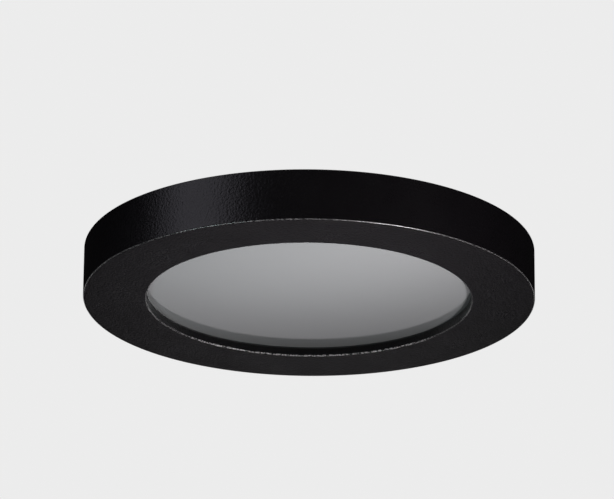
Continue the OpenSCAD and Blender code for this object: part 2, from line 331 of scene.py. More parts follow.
    def bevel(self, width: float, segments: int, test: Test) -> "Form":
        """Rounds the edges that a test picks."""
        return self.use(bpy.ops.mesh.bevel, Pick.EDGES, test, offset=width, segments=segments, affect="EDGES",
                        clamp_overlap=True)

    def inset(self, width: float, depth: float, test: Test) -> "Form":
        """Sets a smaller face into each face that a test picks, raised by the depth."""
        return self.use(bpy.ops.mesh.inset, Pick.FACES, test, thickness=width, depth=depth)

    def extrude(self, rise: float, test: Test, scale: Point = (1, 1, 1)) -> "Form":
        """Draws the faces that a test picks up along Z and scales them.

        Args:
            rise: How far they rise, or sink where it is negative.
            test: Picks faces by their middle point and normal.
            scale: Scale of the drawn face.

        Returns:
            This form.
        """
        self.use(bpy.ops.mesh.extrude_region_move, Pick.FACES, test,
                 TRANSFORM_OT_translate={"value": (0, 0, rise)})
        bpy.ops.transform.resize(value=scale)
        return self

    def heal(self) -> "Form":
        """Merges doubled points and turns every face outwards.

        Returns:
            This form.
        """
        self.pick(Pick.POINTS, everything)
        bpy.ops.mesh.remove_doubles(threshold=TINY)
        bpy.ops.mesh.normals_make_consistent(inside=False)
        self.clear()
        return self

    def modify(self, kind: str, **settings: object) -> "Form":
        """Adds a modifier and applies it.

        Args:
            kind: The modifier's type.
            settings: Its settings.

        Returns:
            This form.
        """
        self.alone()
        modifier = self.thing.modifiers.new(kind.lower(), kind)
        for name, value in settings.items():
            setattr(modifier, name, value)
        bpy.ops.object.modifier_apply(modifier=modifier.name)
        return self

    def combine(self, other: "Form", operation: str) -> "Form":
        """Combines this form with another one, which is used up.

        Args:
            other: The other form.
            operation: UNION or DIFFERENCE.

        Returns:
            This form.
        """
        self.modify("BOOLEAN", operation=operation, object=other.thing, solver="MANIFOLD")
        bpy.data.objects.remove(other.thing)
        return self

    def cut(self, other: "Form") -> "Form":
        """Cuts another form away from this one."""
        return self.combine(other, "DIFFERENCE")

    def fuse(self, other: "Form") -> "Form":
        """Fuses another form with this one."""
        return self.combine(other, "UNION")

    def drill(self, hole: Span, sides: int, ring: Ring) -> "Form":
        """Cuts a ring of round holes."""
        return self.cut(Form.rod(hole, sides).around(ring))

    def copy(self) -> "Form":
        """Copies the form with a mesh of its own."""
        self.alone()
        bpy.ops.object.duplicate(linked=False)
        return Form()

    def move(self, by: Matrix) -> "Form":
        """Moves or turns the form, with its place kept in its mesh."""
        self.thing.matrix_world = by
        self.apply_place()
        return self

    def shift(self, x: float, y: float, z: float) -> "Form":
        """Moves the form along the three axes."""
        return self.move(Matrix.Translation((x, y, z)))

    def turn(self, axis: str, degrees: float) -> "Form":
        """Turns the form about X, Y or Z."""
        return self.move(Matrix.Rotation(math.radians(degrees), 4, axis))

    def place(self, radius: float, degrees: float, height: float = 0.0) -> "Form":
        """Moves the form out along +X and up, and turns it round the light's axis."""
        return self.shift(radius, 0, height).turn("Z", degrees)

    def around(self, ring: Ring, height: float = 0.0) -> "Form":
        """Replaces the form by a ring of copies of it, raised to a height."""
        return self.give_way([self.copy().place(ring.radius, angle, height) for angle in ring.angles])

    def give_way(self, copies: list["Form"]) -> "Form":
        """Discards the form and joins its copies in one object."""
        bpy.data.objects.remove(self.thing)
        return copies[0].join(copies[1:])

    def join(self, others: Sequence["Form"]) -> "Form":
        """Joins other forms to this one as loose parts of one object.

        Args:
            others: The forms that are used up.

        Returns:
            This form.
        """
        self.alone()
        for form in others:
            form.thing.select_set(True)
        if others:
            bpy.ops.object.join()
        return self

    def pair(self, end: "Form") -> "Form":
        """Joins an end part and its copy at the opposite end to this form."""
        return self.join([end.copy().turn("Z", 180), end])

    def paint(self, finish: "Finish", test: Test = everything) -> "Form":
        """Gives some of the faces a finish of their own.

        Args:
            finish: The finish.
            test: Picks faces by their middle point and normal.

        Returns:
            This form.
        """
        self.clear()
        finishes = self.thing.data.materials
        if not finishes:
            finishes.append(None)
        finishes.append(finish.material())
        for face in self.thing.data.polygons:
            if test(face.center, face.normal):
                face.material_index = len(finishes) - 1
        return self

    def finish(self, name: str, finish: "Finish", node: str, body: Body = Body.LUMINAIRE) -> None:
        """Names and dresses the finished piece, and fixes it to its body of the frame.

        Args:
            name: The piece's name.
            finish: Its main finish, which goes in the first material slot.
            node: The solid of the frame that it stands for.
            body: The body that it moves with.
        """
        self.alone()
        bpy.ops.object.shade_smooth_by_angle(angle=SMOOTH_ANGLE)
        self.modify("WEIGHTED_NORMAL", keep_sharp=True, weight=60)
        thing = self.thing
        thing.name = thing.data.name = name
        if thing.data.materials:
            thing.data.materials[0] = finish.material()
        else:
            thing.data.materials.append(finish.material())
        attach(thing, body.value)
        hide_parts(node)
        LOG.info("%s: %d faces, on %s", name, len(thing.data.polygons), body.value)


# ---------------------------------------------------------------- materials


class Socket:
    """A shader value that can be used in Python arithmetic."""

    def __init__(self, graph: "Graph", output: bpy.types.NodeSocket) -> None:
        """Wraps an output socket of a node tree."""
        self.graph, self.output = graph, output

    def maths(self, operation: str, first: "Socket | float", second: "Socket | float") -> "Socket":
        """Adds one Math node and takes its result."""
        return self.graph.take("Math", 0, {0: first, 1: second}, operation=operation)

    def __add__(self, other: "Socket | float") -> "Socket":
        """Adds a value."""
        return self.maths("ADD", self, other)

    def __sub__(self, other: "Socket | float") -> "Socket":
        """Takes a value away."""
        return self.maths("SUBTRACT", self, other)

    def __rsub__(self, other: float) -> "Socket":
        """Takes this value away from another."""
        return self.maths("SUBTRACT", other, self)

    def __mul__(self, other: "Socket | float") -> "Socket":
        """Multiplies by a value."""
        return self.maths("MULTIPLY", self, other)

    __radd__ = __add__
    __rmul__ = __mul__

    def swing(self, by: float) -> "Socket":
        """Turns a value round 0.5 into one round 0, and scales it."""
        return (self - 0.5) * by

    def fade(self, start: float, end: float) -> "Socket":
        """Rises smoothly from 0 at one value to 1 at another."""
        return self.graph.take("MapRange", 0, {0: self, 1: start, 2: end}, interpolation_type="SMOOTHSTEP")


class Graph:
    """The node tree of one material or of the world."""

    def __init__(self, tree: bpy.types.NodeTree) -> None:
        """Starts on a tree, whose nodes are removed."""
        self.tree = tree
        tree.nodes.clear()

    def add(self, kind: str, values: Values | None = None, **settings: str) -> bpy.types.Node:
        """Adds a node.

        Args:
            kind: Its type, without ShaderNode in front.
            values: Value or link of each socket, by name or number.
            settings: Its settings, which are set first.

        Returns:
            The node.
        """
        node = self.tree.nodes.new(f"ShaderNode{kind}")
        for name, value in settings.items():
            setattr(node, name, value)
        for name, value in (values or {}).items():
            socket = node.inputs[name]
            if isinstance(value, Socket):
                self.tree.links.new(value.output, socket)
            else:
                socket.default_value = (*value, 1.0) if socket.type == "RGBA" else value
        return node

    def take(self, kind: str, output: str | int, values: Values | None = None, **settings: str) -> Socket:
        """Adds a node and takes one of its outputs, by name or number."""
        return Socket(self, self.add(kind, values, **settings).outputs[output])

    def place(self, scale: Point = (1, 1, 1), turn: float = 0.0) -> Socket:
        """Gives the place on the piece, in metres.

        Args:
            scale: Stretch of the pattern along each axis; a small number makes it longer.
            turn: Turn of the pattern about Z, in degrees.

        Returns:
            The place.
        """
        at = self.take("TexCoord", "Object")
        if scale == (1, 1, 1) and not turn:
            return at
        return self.take("Mapping", 0, {"Vector": at, "Rotation": (0, 0, math.radians(turn)), "Scale": scale})

    def noise(self, size: float, detail: float = 2, scale: Point = (1, 1, 1), turn: float = 0.0) -> Socket:
        """Makes soft random tone round 0.5, in patches of a size in metres."""
        values = {"Vector": self.place(scale, turn), "Scale": 1 / size, "Detail": detail}
        return self.take("TexNoise", 0, values, noise_dimensions="3D")

    def cells(self, size: float, output: str = "Distance", feature: str = "F1") -> Socket:
        """Makes a pattern of cells of a size in metres, as a distance or a colour."""
        return self.take("TexVoronoi", output, {"Vector": self.place(), "Scale": 1 / size}, feature=feature)

    def blend(self, factor: Socket, low: Socket | Colour, high: Colour) -> Socket:
        """Blends from one colour, where the factor is 0, to another."""
        return self.take("Mix", 2, {0: factor, 6: low, 7: high}, data_type="RGBA")

    def surface(self, colour: Socket, roughness: Socket, height: Socket, depth: float,
                **constants: float) -> None:
        """Ends a material in its shader.

        Args:
            colour: The colour over the surface.
            roughness: The roughness over the surface.
            height: Relief over the surface, from 0 to 1.
            depth: Depth of the relief, in metres.
            constants: Other sockets of the shader, with _ for a space, the same all over.
        """
        normal = self.take("Bump", 0, {"Height": height, "Distance": depth, "Strength": 1.0})
        values = {name.replace("_", " "): value for name, value in constants.items()}
        values |= {"Base Color": colour, "Roughness": roughness, "Normal": normal}
        self.add("OutputMaterial", {"Surface": self.take("BsdfPrincipled", 0, values)})


@dataclass(frozen=True)
class Finish:
    """A finish that builds its material when it is first used."""

    name: str

    def material(self) -> bpy.types.Material:
        """Gives the finish's material, which its first call builds.

        Returns:
            The material.
        """
        name = f"{self.name}_finish"
        if name not in bpy.data.materials:
            made = bpy.data.materials.new(name)
            made.use_nodes = True
            self.draw(Graph(made.node_tree))
        return bpy.data.materials[name]

    def draw(self, graph: Graph) -> None:
        """Draws the material's nodes on its empty tree."""
        raise NotImplementedError

    def tones(self, graph: Graph, factor: Socket, dark: float, light: float) -> Socket:
        """Blends from a dark to a light tone, both given as shares of the finish's colour."""
        low, high = (tuple(min(1.0, part * by) for part in self.colour) for by in (dark, light))
        return graph.blend(factor, low, high)


@dataclass(frozen=True)
class PowderCoat(Finish):
    """Near-black powder coat whose skin has the fine waves of orange peel."""

    colour: Colour = (0.0024, 0.0019, 0.0025)
    roughness: float = 0.30
    peel_size: float = 0.75 * MM
    peel_depth: float = 0.11 * MM
    speck_size: float = 0.1875 * MM
    cloud_size: float = 14 * MM
    # Light grey painted along the edges of the lower face as highlights (glints) of the lamps.
    glint_colour: Colour = (0.64, 0.61, 0.62)
    outer_glint: float = 0.127
    inner_glint_least: float = 0.2
    # Span along +Y over which the inner edge's painted highlight rises to full strength.
    glint_side_from: float = 30 * MM
    glint_side_to: float = 44 * MM
    glint_full_near: float = 0.20 * MM
    outer_reach: float = 0.42 * MM
    inner_reach: float = 0.60 * MM

    def draw(self, graph: Graph) -> None:
        """Draws fine waves, small specks, a slow change of gloss, and painted highlights (glints) in light
        grey on the sharp edges, which are also a little less rough.
        """
        peel = graph.noise(self.peel_size, detail=1)
        speck = graph.noise(self.speck_size, detail=0)
        cloud = graph.noise(self.cloud_size, detail=3)
        # thin is the mask of the painted edge highlights, broken up by the peel; it also lowers the roughness
        # there.
        thin = self.edges(graph) * peel.fade(0.38, 0.62)
        coat = self.tones(graph, speck, dark=0.75, light=1.35)
        # The edges are painted light grey as highlights over the black coat.
        graph.surface(graph.blend(thin, coat, self.glint_colour),
                      self.roughness + cloud.swing(0.10) + speck.swing(0.06) - thin * 0.10,
                      peel + speck * 0.12, self.peel_depth, Specular_IOR_Level=0.5)

    def edges(self, graph: Graph) -> Socket:
        """Finds the two edges of the drum's lower face, where highlights are painted; the inner edge's
        painted highlight is strongest on its +Y side.

        Args:
            graph: The material's tree.

        Returns:
            The strength of the painted highlight on an edge, and 0 away from it.
        """
        shell = Span.of("housing")
        out = graph.take("VectorMath", "Value", {0: graph.place((1, 1, 0))}, operation="LENGTH")
        aside, height = (graph.take("SeparateXYZ", axis, {0: graph.place()}) for axis in (1, 2))
        here = graph.take("CombineXYZ", 0, {0: out, 1: height})
        edges = ((shell.radius, self.outer_reach), (Drum.opening, self.inner_reach))
        outer, inner = (graph.take("VectorMath", "Value", {0: here, 1: (radius, shell.low, 0)},
                                   operation="DISTANCE").fade(reach, self.glint_full_near)
                        for radius, reach in edges)
        # Painted highlight: the inner edge is painted brightest on its +Y side, where the spot lamps glint,
        # and at its least share elsewhere.
        glint_side = aside.fade(self.glint_side_from, self.glint_side_to) * (1 - self.inner_glint_least) + self.inner_glint_least
        return outer * self.outer_glint + inner * glint_side


@dataclass(frozen=True)
class FrostedGlass(Finish):
    """Glass with a glossy front over a frosted back, which reads as a pale grey depth."""

    colour: Colour = (0.1945, 0.197, 0.199)
    roughness: float = 0.92
    cloud_size: float = 22 * MM
    grain_size: float = 0.5 * MM
    frost_depth: float = 0.004 * MM

    def draw(self, graph: Graph) -> None:
        """Draws the frosting as fine grain under a clear glossy skin."""
        cloud = graph.noise(self.cloud_size)
        grain = graph.noise(self.grain_size, detail=1)
        graph.surface(self.tones(graph, cloud * 0.6 + grain * 0.4, dark=0.965, light=1.035),
                      self.roughness + grain.swing(0.05), cloud, self.frost_depth,
                      Specular_IOR_Level=0.0, Coat_Weight=1.0, Coat_Roughness=0.035, Coat_IOR=1.5)


@dataclass(frozen=True)
class Moulded(Finish):
    """Moulded rubber, plastic or lacquer, with a fine even grain and a slow change of tone."""

    colour: Colour
    roughness: float
    grain_size: float = 0.35 * MM
    grain_depth: float = 0.008 * MM
    spread: float = 0.10

    def draw(self, graph: Graph) -> None:
        """Draws the grain, and the change of tone 24 times as wide."""
        grain, cloud = graph.noise(self.grain_size), graph.noise(self.grain_size * 24)
        graph.surface(self.tones(graph, cloud, 1 - self.spread, 1 + self.spread),
                      self.roughness + grain.swing(0.16) + cloud.swing(0.08), grain, self.grain_depth)


@dataclass(frozen=True)
class Foam(Finish):
    """Closed-cell foam with open pores on its cut faces."""

    colour: Colour = (0.022, 0.022, 0.023)
    roughness: float = 0.88
    pore_size: float = 0.45 * MM
    pore_depth: float = 0.12 * MM
    cloud_size: float = 5 * MM

    def draw(self, graph: Graph) -> None:
        """Draws the pores as dark cells with paler walls."""
        pore, cloud = graph.cells(self.pore_size), graph.noise(self.cloud_size)
        graph.surface(self.tones(graph, pore.fade(0.1, 0.6), dark=0.6, light=1.7),
                      self.roughness + cloud.swing(0.12), pore.fade(0.0, 0.7), self.pore_depth)


@dataclass(frozen=True)
class Spangle(Finish):
    """Zinc-coated steel sheet, with the crystals of the zinc and fine rolling lines."""

    colour: Colour = (0.58, 0.59, 0.605)
    roughness: float = 0.36
    metal: float = 0.75
    crystal_size: float = 6.5 * MM
    scratch_size: float = 1.2 * MM
    depth: float = 0.006 * MM

    def draw(self, graph: Graph) -> None:
        """Draws the crystals as large and small cells of differing tone and gloss, under fine scratches."""
        large, small = (graph.take("SeparateColor", channel, {0: graph.cells(size, "Color")})
                        for channel, size in ((0, self.crystal_size), (1, self.crystal_size / 3)))
        tone = large * 0.7 + small * 0.3
        scratch = graph.noise(self.scratch_size, detail=3, scale=(0.04, 1, 1), turn=12)
        graph.surface(self.tones(graph, tone, dark=0.80, light=1.14),
                      self.roughness + tone * 0.10 + scratch.swing(0.14), tone * 0.4 + scratch * 0.6,
                      self.depth, Metallic=self.metal)


@dataclass(frozen=True)
class RolledMetal(Finish):
    """Rolled or plated metal with fine lines along the roll."""

    colour: Colour = (0.66, 0.67, 0.68)
    roughness: float = 0.34
    line_size: float = 0.5 * MM
    stretch: float = 0.03
    depth: float = 0.005 * MM
    cloud_size: float = 9 * MM

    def draw(self, graph: Graph) -> None:
        """Draws the rolling lines and a slow cloud of oxide."""
        line = graph.noise(self.line_size, detail=4, scale=(self.stretch, 1, 1))
        cloud = graph.noise(self.cloud_size, detail=3)
        graph.surface(self.tones(graph, cloud, dark=0.88, light=1.06),
                      self.roughness + line.swing(0.22) + cloud.swing(0.12), line, self.depth, Metallic=1.0)


@dataclass(frozen=True)
class Membrane(Finish):
    """White woven membrane."""

    colour: Colour = (0.80, 0.80, 0.77)
    roughness: float = 0.85
    weave_size: float = 5 * MM
    weave_depth: float = 0.03 * MM

    def draw(self, graph: Graph) -> None:
        """Draws the crossing threads of the weave."""
        warp, weft = (graph.take("TexWave", 1, {"Vector": graph.place(), "Scale": 1 / self.weave_size},
                                 bands_direction=way) for way in "XY")
        weave = warp * weft
        graph.surface(self.tones(graph, weave, dark=0.72, light=1), self.roughness + warp.swing(0.08), weave,
                      self.weave_depth)


@dataclass(frozen=True)
class SolderMask(Finish):
    """White solder mask over the raised copper tracks of the board."""

    colour: Colour = (0.80, 0.80, 0.77)
    roughness: float = 0.38
    track_size: float = 3.6 * MM
    track_depth: float = 0.03 * MM
    grain_size: float = 0.4 * MM

    def draw(self, graph: Graph) -> None:
        """Draws the tracks as raised cells whose gaps show a little darker."""
        gap = graph.cells(self.track_size, feature="DISTANCE_TO_EDGE").fade(0.03, 0.08)
        grain = graph.noise(self.grain_size)
        graph.surface(self.tones(graph, gap, dark=0.86, light=1), self.roughness + grain.swing(0.10),
                      gap + grain * 0.1, self.track_depth)


class Finishes:
    """Every finish of the light, by the part that it belongs to."""

    COAT = PowderCoat("black_powder_coat")
    GLASS = FrostedGlass("frosted_glass")
    STEEL = Spangle("galvanised_steel")
    SHEET = RolledMetal("aluminium_sheet")
    ZINC = RolledMetal("zinc_screws", (0.70, 0.71, 0.72), 0.26, 0.3 * MM, 0.3)
    TIN = RolledMetal("tinned_leads", (0.72, 0.72, 0.70), 0.30, 0.2 * MM, 0.5)
    FOAM = Foam("foam_rubber")
    SILICONE = Moulded("black_silicone", (0.028, 0.028, 0.029), 0.62)
    RUBBER = Moulded("grommet_rubber", (0.02, 0.02, 0.021), 0.55)
    REFLECTOR = Moulded("white_reflector", (0.84, 0.84, 0.82), 0.38, 0.5 * MM, 0.004 * MM, 0.03)
    EPOXY = Moulded("black_epoxy", (0.02, 0.02, 0.022), 0.5, 0.12 * MM, 0.010 * MM)
    VARISTOR = Moulded("varistor_blue", (0.045, 0.13, 0.40), 0.28, 0.6 * MM, 0.010 * MM)
    FUSE = Moulded("fuse_green", (0.21, 0.35, 0.26), 0.30, 0.5 * MM, 0.008 * MM)
    RESISTOR = Moulded("resistor_black", (0.014, 0.014, 0.015), 0.22, 0.2 * MM, 0.003 * MM)
    CERAMIC = Moulded("white_ceramic", (0.78, 0.78, 0.76), 0.5, 0.1 * MM, 0.004 * MM, 0.04)
    NYLON = Moulded("terminal_white", (0.79, 0.79, 0.75), 0.42, 0.3 * MM, 0.006 * MM, 0.04)
    PAD = Moulded("pad_grey", (0.31, 0.37, 0.44), 0.75, 0.5 * MM, 0.03 * MM, 0.12)
    PHOSPHOR = Moulded("led_phosphor", (0.80, 0.60, 0.14), 0.35, 0.08 * MM, 0.004 * MM, 0.05)
    MASK = SolderMask("board_white")
    MEMBRANE = Membrane("vent_white")


# ---------------------------------------------------------------- the light


@dataclass
class Drum:
    """Black die-cast shell, with the foam seal in its rim and the gasket on its ledge."""

    wall: float = 3 * MM
    face: float = 2.7 * MM
    edge_round: float = 0.5 * MM
    rim_round: float = 0.3 * MM
    channel_round: float = 1 * MM
    opening: float = 54 * MM
    collar_outer: float = 62.4 * MM
    collar_inner: float = 57.4 * MM
    collar_top: float = -4.6 * MM
    seal_width: float = 1.4 * MM
    seal_groove: float = 1 * MM
    seal_crown: float = 0.35 * MM
    gasket_round: float = 0.12 * MM
    root: float = 0.5 * MM
    rib_ring: Ring = Ring.even(12, first=15)
    rib_thick: float = 1.6 * MM
    rib_height: float = 6 * MM
    rib_lean: float = 0.82
    rib_round: float = 0.3 * MM
    lug_ring: Ring = Ring.even(3)
    lug_angle: float = 22
    lug_inner: float = 67.5 * MM
    lug_high: float = -0.9 * MM
    lug_thick: float = 2 * MM
    lug_round: float = 0.35 * MM
    screw_ring: Ring = Ring.even(6, 59.9 * MM)
    screw_hole: float = 1.3 * MM
    screw_depth: float = 7 * MM
    steps: int = 288

    def build(self) -> None:
        """Builds the shell, the soffit seal and the lens gasket."""
        shell, seal, gasket = Span.of("housing"), Span.of("soffit_seal"), Span.of("lens_gasket")
        self.ledge, self.inner = shell.low + self.face, shell.radius - self.wall
        form = Form.turned(self.section(shell), self.steps, rounding=8)
        form.fuse(self.ribs())
        form.fuse(self.lugs())
        hole = Span(self.screw_hole, self.collar_top - self.screw_depth, self.collar_top + MM)
        form.drill(hole, 32, self.screw_ring)
        form.finish("drum_casting", Finishes.COAT, "housing")
        crown, ease = self.seal_crown, self.gasket_round
        foam = Form.ring(seal.radius - self.seal_width, seal, self.steps, (0, 0, crown, crown))
        foam.finish("soffit_seal_ring", Finishes.FOAM, "soffit_seal")
        rubber = Form.ring(self.opening, gasket, self.steps, (ease, 0, 0, ease))
        rubber.finish("glass_gasket", Finishes.SILICONE, "lens_gasket")

    def section(self, shell: Span) -> Section:
        """Draws the half section of the shell.

        Args:
            shell: Reach of the shell.

        Returns:
            Its corners, with their roundings.
        """
        low, high, out = shell.low, shell.high, shell.radius
        middle, groove = out - self.wall / 2, high - self.seal_groove
        groove_in, groove_out = middle - self.seal_width / 2, middle + self.seal_width / 2
        return [(self.opening, low, self.edge_round), (out, low, self.edge_round),
                (out, high, self.rim_round), (groove_out, high), (groove_out, groove),
                (groove_in, groove), (groove_in, high),
                (self.inner, high), (self.inner, self.ledge, self.channel_round),
                (self.collar_outer, self.ledge, self.channel_round), (self.collar_outer, self.collar_top),
                (self.collar_inner, self.collar_top), (self.collar_inner, self.ledge),
                (self.opening, self.ledge)]

    def ribs(self) -> Form:
        """Models the ribs that stiffen the channel, leaning in a little towards their tops.

        Returns:
            All the ribs.
        """
        half, foot, top = self.rib_thick / 2, self.ledge + MM, self.ledge + self.rib_height
        rib = Form.block((self.collar_outer - self.root, -half, self.ledge - self.root),
                         (self.inner + self.root, half, foot))
        rib.extrude(top - foot, facing(0, 0, 1), (1, self.rib_lean, 1))
        rib.bevel(self.rib_round, 3, lambda at, way: at.z > top - self.rib_round and abs(way.x) > 0.9)
        return rib.around(self.rib_ring)

    def lugs(self) -> Form:
        """Models the lugs that rest on the mounting plate's hooks, with eased edges.

        Returns:
            All the lugs.
        """
        reach = Span(self.inner + self.root, self.lug_high - self.lug_thick, self.lug_high)
        return Form.ring(self.lug_inner, reach, 12, (self.lug_round, 0, 0, self.lug_round),
                         math.radians(self.lug_angle), 3).around(self.lug_ring)


@dataclass
class Window:
    """Frosted glass disc with ground edges."""

    ground_edge: float = 0.4 * MM
    steps: int = 256

    def build(self) -> None:
        """Builds the glass."""
        eases = (0, self.ground_edge, self.ground_edge, 0)
        glass = Form.ring(0, Span.of("lens"), self.steps, eases, rounding=3)
        glass.finish("front_glass", Finishes.GLASS, "lens")


@dataclass
class MountingPlate:
    """Pressed steel plate, with three hooks that the drum's lugs turn onto."""

    sheet: float = 1.5 * MM
    burr: float = 0.2 * MM
    wire_hole: float = 15 * MM
    bead_inner: float = 24 * MM
    bead_outer: float = 30 * MM
    bead_depth: float = 0.4 * MM
    edge: float = 62.45 * MM
    bend_inner: float = 63.2 * MM
    foot_low: float = -4.6 * MM
    gap_angle: float = 92.845
    gap_ring: Ring = Ring.even(3, first=60.5775)
    inside_round: float = 0.4 * MM
    corner_round: float = 0.9 * MM
    stop_ring: Ring = Ring.even(3, 69 * MM, 12.33)
    stop_width: float = 2.4 * MM
    stop_height: float = 1 * MM
    stop_round: float = 0.25 * MM
    slot_ring: Ring = Ring.even(2, 39.7 * MM)
    slot_length: float = 14 * MM
    slot_width: float = 4.5 * MM
    screw_ring: Ring = Ring.even(4, 54 * MM, 45)
    screw_hole: float = 2.25 * MM
    steps: int = 256

    def build(self) -> None:
        """Builds the plate with its hooks, stops, slots and holes."""
        plate = Span.of("mounting_plate")
        self.foot_high = self.foot_low + self.sheet
        form = Form.turned(self.section(plate), self.steps, rounding=6)
        reach = Span(self.stop_width / 2, self.foot_low + self.sheet / 2, self.foot_high + self.stop_height)
        form.fuse(Form.ring(0, reach, 32, (0, 0, self.stop_round, 0)).around(self.stop_ring))
        gap = Form.ring(self.edge, Span(plate.radius + MM, self.foot_low - MM, MM), 64,
                        angle=math.radians(self.gap_angle))
        form.cut(gap.around(self.gap_ring))
        form.drill(self.tool(self.screw_hole), 40, self.screw_ring)
        form.cut(self.slot().around(self.slot_ring))
        rim = plate.radius * 0.995
        form.bevel(self.corner_round, 4, lambda at, way: abs(way.z) > 0.9 and math.hypot(at.x, at.y) > rim)
        form.heal()
        form.finish("soffit_plate", Finishes.STEEL, "mounting_plate", Body.BRACKET)

    def section(self, plate: Span) -> Section:
        """Draws the half section through a hook: flat sheet, upright bend and foot.

        Args:
            plate: Reach of the plate.

        Returns:
            Its corners, with their roundings.
        """
        low, slope, bend_outer = -self.sheet, self.bead_depth * 2, self.bend_inner + self.sheet
        bead = [(self.bead_inner, 0), (self.bead_inner + slope, self.bead_depth),
                (self.bead_outer - slope, self.bead_depth), (self.bead_outer, 0)]
        return [(self.wire_hole, plate.high, self.burr), (self.wire_hole, low, self.burr),
                *((radius, low - sunk) for radius, sunk in bead),
                (self.bend_inner, low, self.inside_round), (self.bend_inner, self.foot_low, self.sheet),
                (plate.radius, self.foot_low, self.burr), (plate.radius, self.foot_high, self.burr),
                (bend_outer, self.foot_high, self.inside_round), (bend_outer, plate.high, self.sheet),
                *((radius, plate.high - sunk) for radius, sunk in reversed(bead))]

    def tool(self, radius: float) -> Span:
        """Gives the reach of a round tool that cuts through the flat sheet."""
        return Span(radius, -2 * self.sheet, self.sheet)

    def slot(self) -> Form:
        """Models the tool that cuts one box slot: a long hole with round ends.

        Returns:
            The tool, centred on the axis.
        """
        end = self.tool(self.slot_width / 2)
        run = self.slot_length / 2 - end.radius
        tool = Form.block((-run, -end.radius, end.low), (run, end.radius, end.high))
        for side in (-1, 1):
            tool.fuse(Form.rod(end, 40).shift(side * run, 0, 0))
        return tool


class Head(Enum):
    """Shape of a screw's head."""

    COUNTERSUNK = "countersunk"
    PAN = "pan"


@dataclass(frozen=True)
class Screw:
    """Screw with a cross recess, modelled upright with the top of its head at z = 0."""

    head: Head
    thread: float
    head_radius: float
    head_height: float
    length: float
    pitch: float
    root: float = 0.80
    brim: float = 0.1 * MM
    crown: float = 0.8 * MM
    edge_round: float = 0.06 * MM
    tip_share: float = 0.8
    recess_width: float = 0.7 * MM
    recess_depth: float = 0.6 * MM
    recess_share: float = 0.6
    recess_lean: Point = (0.6, 0.6, 1)
    sides: int = 36

    def form(self) -> Form:
        """Models the screw.

        Returns:
            The screw.
        """
        out, root, brim, neck = self.head_radius, self.thread * self.root, self.brim, -self.head_height
        top = {Head.COUNTERSUNK: [(0, 0), (out, 0, self.edge_round), (out, -brim), (root, neck - brim)],
               Head.PAN: [(0, 0), (out, 0, self.crown), (out, neck, brim), (root, neck)]}[self.head]
        start = top[-1][1] - self.pitch / 2
        flanks = [(self.thread if side else root, start - self.pitch * (turn + side / 2))
                  for turn in range(int((self.length + start) / self.pitch)) for side in (0, 1)]
        tip = [(root * self.tip_share, -self.length, brim), (0, -self.length)]
        return Form.turned(top + flanks + tip, self.sides, rounding=4).cut(self.recess())

    def recess(self) -> Form:
        """Models the tool that sinks the cross, narrower at its foot.

        Returns:
            The tool.
        """
        reach, half = self.head_radius * self.recess_share, self.recess_width / 2
        arm = Form.block((-reach, -half, -self.recess_depth), (reach, half, MM))
        arm.use(bpy.ops.transform.resize, Pick.FACES, facing(0, 0, -1), value=self.recess_lean)
        return arm.fuse(arm.copy().turn("Z", 90))


@dataclass
class Reflector:
    """White cone from the glass up to the board, whose foot presses the glass on its gasket."""

    thick: float = 1.2 * MM
    lean: float = 8.5 * MM
    ease: float = 0.25 * MM
    foot_height: float = 1 * MM
    lip_inset: float = 2.7 * MM
    gusset_ring: Ring = Ring.even(12)
    gusset_thick: float = 0.8 * MM
    gusset_rise: float = 1.8 * MM
    steps: int = 192

    def build(self) -> None:
        """Builds the cone with its foot and the gussets behind it."""
        cone, ease, thick = Span.of("reflector"), self.ease, self.thick
        out, low, high = cone.radius, cone.low, cone.high
        lower, foot = out - self.lip_inset, low + self.foot_height
        upper, brim = lower - self.lean, out - ease * 2
        form = Form.turned([(lower, low, ease), (out, low, ease), (out, foot, ease),
                            (lower + thick, foot, ease), (upper + thick, high), (upper, high)],
                           self.steps, rounding=3)
        behind, top = lower - self.gusset_rise, foot + self.gusset_rise
        gusset = Form.pressed([(lower, foot - ease), (brim, foot - ease), (brim, foot + ease), (behind, top),
                               (behind - ease, top)], self.gusset_thick)
        form.fuse(gusset.around(self.gusset_ring))
        form.finish("white_cone", Finishes.REFLECTOR, "reflector")


